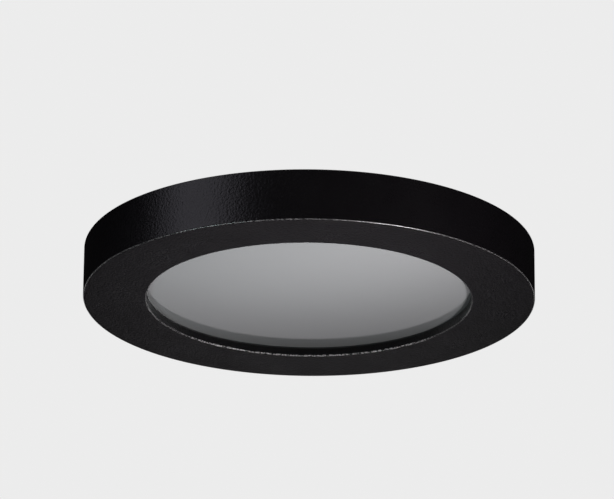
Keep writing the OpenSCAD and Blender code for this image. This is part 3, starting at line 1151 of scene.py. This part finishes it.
@dataclass
class LightBoard:
    """Aluminium-core board with its diodes, its screws and the pad that leads its heat into the cover."""

    hole: float = 8 * MM
    screw_ring: Ring = Ring.even(3, 35.5 * MM, 60)
    screw_hole: float = 1.55 * MM
    vent_ring: Ring = Ring(24 * MM, (90,))
    vent_hole: float = 0.8 * MM
    board_ease: float = 0.12 * MM
    pad_ease: float = 0.08 * MM
    diode_rings: tuple[Ring, ...] = (Ring.even(8, 18 * MM, 22.5), Ring.even(12, 30 * MM, 15),
                                     Ring.even(18, 41 * MM, 10))
    diode: Size = Size(3.5 * MM, 2.8 * MM, 0.7 * MM)
    cup_wall: float = 0.3 * MM
    cup_depth: float = 0.22 * MM
    pad_height: float = 0.15 * MM
    mark_ring: Ring = Ring(49.5 * MM, (5, 32, 76, 102, 132, 146, 174, 187, 234, 276, 310, 340))
    mark_radius: float = 0.5 * MM
    mark_height: float = 0.04 * MM
    mark_root: float = 0.2 * MM
    steps: int = 192

    def build(self) -> None:
        """Builds the board, the pad, the diodes and the screws."""
        board, screws = Span.of("led_board"), Span.of("board_screws")
        mark = Form.rod(Span(self.mark_radius, board.low - self.mark_height, board.low + self.mark_root), 16)
        mark.bevel(self.mark_height / 2, 1, lambda at, _: at.z < board.low)
        marks = mark.around(self.mark_ring).paint(Finishes.TIN)
        self.disc(board, self.board_ease).join([marks]).finish("light_board", Finishes.MASK, "led_board")
        self.disc(Span.of("thermal_pad"), self.pad_ease).finish("heat_pad", Finishes.PAD, "thermal_pad")
        rings = [self.package().around(ring, board.low) for ring in self.diode_rings]
        rings[0].join(rings[1:]).finish("diode_packages", Finishes.PHOSPHOR, "leds")
        screw = Screw(Head.PAN, thread=1.5 * MM, head_radius=2.7 * MM, head_height=1.4 * MM,
                      length=screws.high - screws.low, pitch=0.5 * MM).form().turn("X", 180)
        screw.around(self.screw_ring, screws.low).finish("board_screw_set", Finishes.ZINC, "board_screws")

    def disc(self, sheet: Span, ease: float) -> Form:
        """Models the board or its pad, with eased edges and holes."""
        return self.drill(Form.ring(self.hole, sheet, self.steps, (ease,) * 4, rounding=2), sheet, 24)

    def drill(self, form: Form, sheet: Span, sides: int) -> Form:
        """Cuts the holes for the screws and the vent through a sheet."""
        form.drill(sheet.through(self.screw_hole), sides, self.screw_ring)
        return form.drill(sheet.through(self.vent_hole), sides, self.vent_ring)

    def package(self) -> Form:
        """Models one diode: a white cup filled with phosphor, and a tinned pad under each end.

        Returns:
            The diode, hanging from z = 0.
        """
        (wide, long, high), wall, sunk = self.diode.halves(), self.cup_wall, self.cup_depth
        cup = Form.block((-wide, wall - long, -high), (wide, long - wall, 0))
        cup.inset(wall, 0, facing(0, 0, -1))
        cup.extrude(sunk, centre, (0.9, 0.9, 1))
        cup.inset(wall, sunk / 2, centre)
        bright = long - wall * 2
        cup.paint(Finishes.NYLON, lambda at, way: at.z > sunk * 1.1 - high or
                  max(abs(at.x) - wide + wall, abs(at.y) - bright) > -0.02 * MM)
        pad = Form.block((-wide * 0.8, long - wall * 1.5, -self.pad_height), (wide * 0.8, long, 0))
        return cup.pair(pad.paint(Finishes.TIN))


@dataclass
class Driver:
    """Electronic parts that feed the diodes, round the edge of the board's lower side."""

    ring: float = 53.6 * MM
    terminal_ring: Ring = Ring(11.4 * MM, (250, 290))
    leg_thick: float = 0.2 * MM
    leg_rounds: tuple[float, float] = (0.08 * MM, 0.05 * MM)
    body_share: float = 0.37
    knee_share: float = 0.35
    dimple_depth: float = 0.12 * MM
    seam: float = 0.08 * MM
    draft: Point = (0.93, 0.93, 1)
    mould_round: float = 0.07 * MM
    metal_round: float = 0.06 * MM
    rectifier: Size = Size(5 * MM, 4.4 * MM, 1.3 * MM)
    chip: Size = Size(5 * MM, 3.9 * MM, 1.5 * MM)
    varistor: Size = Size(5.7 * MM, 4.4 * MM, 1.6 * MM)
    strap_reach: float = 1.2 * MM
    fuse_radius: float = 0.9 * MM
    fuse_barrel: float = 0.83 * MM
    fuse_length: float = 5.5 * MM
    fuse_cap: float = 0.9 * MM
    fuse_bands: tuple[float, ...] = (-1.3 * MM, -0.6 * MM, 0.1 * MM, 1.1 * MM)
    band_width: float = 0.32 * MM
    resistor: Size = Size(3.2 * MM, 1.6 * MM, 0.6 * MM)
    resistor_cap: float = 0.45 * MM
    cap_rise: float = 0.03 * MM
    film_inset: float = 0.1 * MM
    film_rise: float = 0.02 * MM
    terminal: Size = Size(6 * MM, 4.4 * MM, 2.4 * MM)
    case_round: float = 0.18 * MM
    tail: float = 0.35 * MM
    tail_height: float = 0.25 * MM
    mouth: float = 0.8 * MM
    mouth_depth: float = 3 * MM
    funnel: float = 0.35 * MM
    slot: float = 0.45 * MM
    slot_from: float = 0.3 * MM
    slot_to: float = 1.3 * MM
    slot_depth: float = 0.5 * MM

    def build(self) -> None:
        """Builds every part and sets its copies on the board's lower side."""
        low = Span.of("led_board").low
        for part, angles, name, finish, node in (
                (self.legged(self.rectifier, 2, 0.7 * MM), (90,),
                 "rectifier_bridge", Finishes.EPOXY, "bridge_rectifier"),
                (self.legged(self.chip, 4, 0.42 * MM), (160, 200),
                 "control_chips", Finishes.EPOXY, "driver_chips"),
                (self.strapped(), (66,), "surge_varistor", Finishes.VARISTOR, "varistor"),
                (self.banded(), (14, 46), "fusible_resistors", Finishes.FUSE, "fuse_resistors"),
                (self.capped(), (110, 116, 122, 214, 220, 226, 290, 296),
                 "film_resistors", Finishes.RESISTOR, "chip_resistors")):
            part.around(Ring(self.ring, angles), low).finish(name, finish, node)
        terminals = self.push_in().around(self.terminal_ring, low)
        terminals.finish("supply_terminals", Finishes.NYLON, "wire_terminals")

    def moulding(self, size: Size) -> Form:
        """Models a moulded body, whose sides lean in above and below its parting line.

        Args:
            size: Its size.

        Returns:
            The body.
        """
        (out, half, high), seam = size.halves(), self.seam
        line = high / 2
        body = Form.block((-out, -half, -line - seam), (out, half, seam - line))
        body.extrude(seam - line, facing(0, 0, -1), self.draft)
        body.extrude(line - seam * 2, facing(0, 0, 1), self.draft)
        return body.bevel(self.mould_round, 2, lambda at, way: abs(at.z + line) > line - seam * 1.5 or
                          abs(way.z) > 0.5 and abs(at.z + line) > seam)

    def legged(self, size: Size, legs: int, leg_width: float) -> Form:
        """Models a moulded package with a row of bent legs on each side and a dimple at the first one.

        Args:
            size: Its size over the legs.
            legs: Number of legs on a side.
            leg_width: Width of a leg.

        Returns:
            The package.
        """
        out, side, top, line = size.width / 2, size.width * self.body_share, -size.height, size.height / 2
        body = self.moulding(Size(size.length, side * 2, size.height))
        bottom, above = top + self.dimple_depth, top - 0.1 * MM
        dimple = Form.turned([(0, bottom), (0.2 * MM, bottom), (0.35 * MM, above), (0, above)], 20)
        body.cut(dimple.shift(-side * 0.55, size.length * 0.36, 0))
        knee, start, thick = side + (out - side) * self.knee_share, side * 0.8, self.leg_thick
        outside, inside = self.leg_rounds
        leg = Form.pressed([(start, -line), (knee + thick, -line, outside), (knee + thick, -thick, inside),
                            (out, -thick), (out, 0), (knee, 0, outside), (knee, thick - line, inside),
                            (start, thick - line)], leg_width).paint(Finishes.TIN)
        pitch = size.length / (legs + 0.3)
        return body.pair(leg.give_way([leg.copy().shift(0, pitch * (count - (legs - 1) / 2), 0)
                                       for count in range(legs)]))

    def strapped(self) -> Form:
        """Models the varistor: a lacquered block with a metal strap wrapped under each end.

        Returns:
            The varistor.
        """
        size, thick = self.varistor, self.leg_thick
        half, line, start = size.length / 2, size.height / 2, size.length / 2 - self.strap_reach
        body = self.moulding(Size(size.length - 2 * thick, size.width, size.height))
        strap = Form.pressed([(start, 0), (half, 0, 0.1 * MM), (half, -line), (half - thick * 2, -line),
                              (half - thick * 2, thick - line), (half - thick, thick - line),
                              (half - thick, -thick), (start, -thick)], size.width / 2)
        return body.pair(strap.turn("Z", 90).paint(Finishes.TIN))

    def banded(self) -> Form:
        """Models a fusible resistor: a banded barrel between two metal caps, lying along Y.

        Returns:
            The resistor.
        """
        radius, barrel, broad = self.fuse_radius, self.fuse_barrel, self.band_width
        half, cap = self.fuse_length / 2, self.fuse_length / 2 - self.fuse_cap
        outer, inner = 0.25 * MM, 0.05 * MM
        borders = [(barrel, edge) for band in self.fuse_bands for edge in (band, band + broad)]
        form = Form.turned([(0, -half), (radius, -half, outer), (radius, -cap, inner), (barrel, -cap),
                            *borders, (barrel, cap), (radius, cap, inner), (radius, half, outer), (0, half)],
                           28, rounding=3)
        form.paint(Finishes.TIN, lambda at, _: abs(at.z) > cap - TINY)
        form.paint(Finishes.RESISTOR, lambda at, _: any(0 < at.z - band < broad for band in self.fuse_bands))
        return form.turn("X", 90).shift(0, 0, -radius)

    def capped(self) -> Form:
        """Models a chip resistor: a ceramic block with a black film, and a tinned cap at each end.

        Returns:
            The resistor.
        """
        out, half, high = self.resistor.halves()
        inner = half - self.resistor_cap
        chip = Form.block((-out, -inner, self.cap_rise - high), (out, inner, 0))
        chip.inset(self.film_inset, 0, centre)
        chip.extrude(-self.film_rise, centre)
        chip.paint(Finishes.CERAMIC, lambda at, way: not centre(at, way))
        end = Form.block((-out, inner, -high), (out, half, 0)).bevel(self.metal_round, 2, everything)
        return chip.pair(end.paint(Finishes.TIN))

    def push_in(self) -> Form:
        """Models a push-in wire terminal, with two mouths, two release slots and two tinned tails.

        Returns:
            The terminal.
        """
        (out, half, high), mouth = self.terminal.halves(), self.mouth
        body = Form.block((-out, -half, -high), (out - self.tail, half, 0))
        body.bevel(self.case_round, 3, lambda at, _: at.z < -TINY)
        tails = []
        for middle in (-half / 2, half / 2):
            bore = Form.turned([(0, -MM), (mouth * 1.3, -MM), (mouth * 1.3, 0), (mouth, self.funnel),
                                (mouth, self.mouth_depth), (0, self.mouth_depth)], 28)
            body.cut(bore.turn("Y", 90).shift(-out, middle, -high / 2))
            near, far = middle - self.slot, middle + self.slot
            body.cut(Form.block((self.slot_from, near, -high - MM),
                                (self.slot_to, far, self.slot_depth - high)))
            tail = Form.block((0, near, -self.tail_height), (out, far, 0))
            tail.bevel(self.metal_round, 2, lambda at, way: at.x > out - TINY)
            tails.append(tail.paint(Finishes.TIN))
        return body.join(tails)


@dataclass
class ChamberCover:
    """Aluminium plate that closes the lamp chamber, with its gasket, screws, cable grommet and vent."""

    board: LightBoard
    screw_ring: Ring = Ring.even(6, 59.9 * MM)
    thread: float = 1.25 * MM
    pitch: float = 0.45 * MM
    head_radius: float = 2.15 * MM
    clear: float = 0.05 * MM
    low_round: float = 0.15 * MM
    high_round: float = 0.3 * MM
    land_inner: float = 50 * MM
    land_outer: float = 52 * MM
    land_depth: float = 0.25 * MM
    swell: float = 0.1 * MM
    bore: float = 3.25 * MM
    neck: float = 5.4 * MM
    lip: float = 0.9 * MM
    lip_rise: float = 0.25 * MM
    soft_round: float = 0.15 * MM
    flange_round: float = 0.1 * MM
    vent_slope: tuple[float, float] = (0.62, 0.55)
    steps: int = 192

    def build(self) -> None:
        """Builds the cover, its gasket, its screws, the grommet and the vent."""
        self.sheet = Span.of("chamber_cover")
        self.plate()
        self.gasket()
        screw = Screw(Head.COUNTERSUNK, self.thread, self.head_radius, self.head_radius - self.thread,
                      self.sheet.high - Span.of("cover_screws").low, self.pitch).form()
        screws = screw.around(self.screw_ring, self.sheet.high)
        screws.finish("cover_screw_set", Finishes.ZINC, "cover_screws")
        self.grommet()
        self.vent()

    def plate(self) -> None:
        """Builds the cover: a turned groove in its upper face, countersinks and holes."""
        low, high, out = self.sheet.low, self.sheet.high, self.sheet.radius
        depth = self.land_depth
        form = Form.turned([(0, low), (out, low, self.low_round), (out, high, self.high_round),
                            (self.land_outer, high), (self.land_outer - depth, high - depth),
                            (self.land_inner + depth, high - depth), (self.land_inner, high), (0, high)],
                           self.steps, rounding=3)
        bore, head = self.thread + self.clear, self.head_radius + self.clear
        sink = Form.turned([(0, low - MM), (bore, low - MM), (bore, high + bore - head), (head, high),
                            (head, high + MM), (0, high + MM)], 36)
        form.cut(sink.around(self.screw_ring))
        self.board.drill(form, self.sheet, 32)
        form.drill(self.sheet.through(self.neck + self.clear), 32, Ring.even(1))
        form.finish("cover_plate", Finishes.SHEET, "chamber_cover")

    def gasket(self) -> None:
        """Builds the gasket, pressed a little out at its edges."""
        reach, swell = Span.of("cover_gasket"), self.swell
        low, high, out, middle = reach.low, reach.high, reach.radius, (reach.low + reach.high) / 2
        inner = self.screw_ring.radius * 2 - out
        form = Form.turned([(inner, low), (out, low), (out + swell, middle, swell), (out, high),
                            (inner, high), (inner - swell, middle, swell)], self.steps, rounding=2)
        form.drill(reach.through(self.thread + self.clear), 24, self.screw_ring)
        form.finish("cover_seal", Finishes.SILICONE, "cover_gasket")

    def grommet(self) -> None:
        """Builds the grommet: two soft flanges, a neck and a thin lip round the bore."""
        solid, bore, neck, lip = Span.of("cable_grommet"), self.bore, self.neck, self.lip
        out, low, high = solid.radius, self.sheet.low, self.sheet.high
        soft, firm, top = self.soft_round, self.flange_round, solid.high
        form = Form.turned([(bore, solid.low, 0.2 * MM), (out, solid.low, 0.4 * MM), (out, low, firm),
                            (neck, low), (neck, high), (out, high, firm), (out - 0.3 * MM, top, 0.35 * MM),
                            (bore + lip * 1.6, top, soft), (bore + lip, top - self.lip_rise, firm),
                            (bore, top - 0.05 * MM, soft)], 96, rounding=4)
        form.finish("inlet_grommet", Finishes.RUBBER, "cable_grommet")

    def vent(self) -> None:
        """Builds the vent: a flat glued border round a raised membrane."""
        patch = Span.of("vent_patch")
        low, high, out, thin = patch.low, patch.high, patch.radius, (patch.high - patch.low) / 3
        wide, narrow = (out * share for share in self.vent_slope)
        form = Form.turned([(0, low), (out, low), (out, low + thin, thin / 2), (wide, low + thin),
                            (narrow, high, thin), (0, high)], 64, rounding=3)
        form.around(self.board.vent_ring).finish("vent_membrane", Finishes.MEMBRANE, "vent_patch")


# ---------------------------------------------------------------- the studio


@dataclass(frozen=True)
class Lamp:
    """Lamp that faces the light, or a point of its glass.

    The azimuth runs from the camera's side towards +X, and the elevation is above the horizon.
    """

    name: str
    azimuth: float
    elevation: float
    distance: float
    power: float
    tint: Colour = (1, 1, 1)
    aim: tuple[float, float] = (0, 0)
    mirrored: bool = True

    def stand(self, kind: str, **settings: object) -> None:
        """Builds the lamp, stands it in its place and turns it to what it lights.

        Args:
            kind: Its kind of light.
            settings: The light's own settings.
        """
        light = bpy.data.lights.new(self.name, kind)
        for name, value in {"energy": self.power, "color": self.tint, **settings}.items():
            setattr(light, name, value)
        lamp = bpy.data.objects.new(self.name, light)
        bpy.context.scene.collection.objects.link(lamp)
        turn, rise = math.radians(self.azimuth), math.radians(self.elevation)
        lamp.location = Vector((math.sin(turn) * math.cos(rise), -math.cos(turn) * math.cos(rise),
                                math.sin(rise))) * self.distance
        lamp.rotation_mode = "QUATERNION"
        target = Vector((*self.aim, CAD_BOX[0].z))
        lamp.rotation_quaternion = (target - lamp.location).to_track_quat("-Z", "Y")
        lamp.visible_camera = False
        lamp.visible_glossy = self.mirrored


@dataclass(frozen=True, kw_only=True)
class Softbox(Lamp):
    """Rectangular soft lamp."""

    width: float
    height: float

    def build(self) -> None:
        """Builds the lamp."""
        self.stand("AREA", shape="RECTANGLE", size=self.width, size_y=self.height)


@dataclass(frozen=True, kw_only=True)
class Spot(Lamp):
    """Small soft spot lamp."""

    spread: float
    radius: float

    def build(self) -> None:
        """Builds the lamp."""
        self.stand("SPOT", spot_size=math.radians(self.spread), spot_blend=1.0, shadow_soft_size=self.radius)


@dataclass
class Studio:
    """Plain pale floor, soft lamps and an even backdrop."""

    backdrop: float = 0.84
    paint: float = 0.62
    ambient: float = 0.17
    mirrored_floor: Colour = (0.0265, 0.0245, 0.0265)
    mirrored_sides: float = 0.0015
    mirrored_top: float = 0.78
    top_from: float = 0.60
    top_to: float = 0.88
    floor_depth: float = 2.4
    floor_radius: float = 14.0
    lamps: tuple[Lamp, ...] = (
        *(Softbox(f"side_strip_{azimuth}", azimuth, -9, 1.3, 0.45, width=0.32, height=0.36)
          for azimuth in (115, 150, -115, -150)),
        Softbox("left_softbox", -57, 20, 1.1, 1.35, (0.98, 0.95, 1.09), width=0.66, height=0.80),
        Softbox("right_card", 56, 20, 1.1, 0.03, width=0.14, height=0.80),
        Softbox("rear_card", 180, -20.3, 1.6, 0.061, (1, 0.97, 1.01), width=0.29, height=0.15),
        Softbox("top_softbox", 0, 88, 1.5, 11.0, mirrored=False, width=1.0, height=1.0),
        Spot("right_key", 50, -48, 0.45, 16.0, (1, 0.985, 0.995), (0.015, -0.052), spread=25, radius=0.045),
        Spot("left_fill", -54, -46, 0.45, 2.4, (0.82, 1, 1), (-0.030, -0.040), spread=24, radius=0.035))

    def build(self) -> None:
        """Builds the floor, the backdrop and the lamps."""
        self.floor()
        self.world()
        for lamp in self.lamps:
            lamp.build()

    def floor(self) -> None:
        """Builds the floor, which shows the backdrop's tone to the camera."""
        floor = Form.add(bpy.ops.mesh.primitive_circle_add, vertices=64, radius=self.floor_radius,
                         fill_type="NGON", location=(0, 0, -self.floor_depth)).thing
        floor.name = "studio_floor"
        material = bpy.data.materials.new("studio_floor")
        material.use_nodes = True
        graph = Graph(material.node_tree)
        paint = graph.take("BsdfDiffuse", 0, {"Color": (self.paint,) * 3})
        glow, dark = (graph.take("Emission", 0, {"Color": colour, "Strength": 1.0})
                      for colour in ((self.backdrop,) * 3, self.mirrored_floor))
        unseen = graph.take("MixShader", 0, {0: graph.take("LightPath", "Is Glossy Ray"), 1: paint, 2: dark})
        both = graph.take("MixShader", 0, {0: self.seen(graph), 1: unseen, 2: glow})
        graph.add("OutputMaterial", {"Surface": both})
        floor.data.materials.append(material)

    @staticmethod
    def seen(graph: Graph) -> Socket:
        """Gives 1 where the camera looks at the backdrop, straight or through glass, and 0 elsewhere."""
        camera, through = (graph.take("LightPath", f"Is {way} Ray") for way in ("Camera", "Transmission"))
        return camera.maths("MAXIMUM", camera, through)

    def world(self) -> None:
        """Builds the backdrop: even for the camera, pale overhead and dark at the sides in reflections."""
        world = bpy.data.worlds.new("studio")
        bpy.context.scene.world = world
        world.use_nodes = True
        graph = Graph(world.node_tree)
        glossy, seen = graph.take("LightPath", "Is Glossy Ray"), self.seen(graph)
        height = graph.take("SeparateXYZ", 2, {0: graph.take("TexCoord", "Generated")})
        mirrored = height.fade(self.top_from, self.top_to) * self.mirrored_top + self.mirrored_sides
        others = glossy * mirrored + (1 - glossy) * self.ambient
        strength = seen * self.backdrop + (1 - seen) * others
        background = graph.take("Background", 0, {"Color": (1, 1, 1), "Strength": strength})
        graph.add("OutputWorld", {"Surface": background})


@dataclass
class Viewpoint:
    """Camera at the photograph's viewing angle, below the light and looking up."""

    elevation: float = -20.3
    distance: float = 1.5
    roll: float = 0.48
    lens: float = 264.8
    sensor: float = 36.0
    frame_width: int = 614
    frame_height: int = 499
    face_x: float = 309.35
    face_y: float = 301.5

    def build(self) -> None:
        """Builds the camera and turns it so that the drum's lower face sits where the photograph shows it."""
        data = bpy.data.cameras.new("camera")
        data.sensor_width, data.lens = self.sensor, self.lens
        camera = bpy.data.objects.new("camera", data)
        bpy.context.scene.collection.objects.link(camera)
        bpy.context.scene.camera = camera
        rise, face = math.radians(self.elevation), Vector((0, 0, CAD_BOX[0].z))
        out = Vector((0, -math.cos(rise), math.sin(rise)))
        camera.location = face + out * self.distance
        pixel = self.distance * self.sensor / self.lens / self.frame_width
        aside, above = self.frame_width / 2 - self.face_x, self.face_y - self.frame_height / 2
        level = (-out).to_track_quat("-Z", "Y")
        aim = face + level @ Vector((aside, above, 0)) * pixel - camera.location
        camera.rotation_mode = "QUATERNION"
        camera.rotation_quaternion = (aim.to_track_quat("-Z", "Y")
                                      @ Quaternion((0, 0, 1), math.radians(self.roll)))


def main() -> None:
    """Builds the light, its studio and its camera in order."""
    logging.basicConfig(level=logging.INFO, format="%(name)s: %(message)s")
    bpy.context.scene.view_settings.view_transform = "Standard"
    Viewpoint().build()
    board = LightBoard()
    for part in (Drum(), Window(), Reflector(), board, Driver(), ChamberCover(board), MountingPlate()):
        part.build()
    Studio().build()
    Form.clear()


if __name__ == "__main__":
    main()
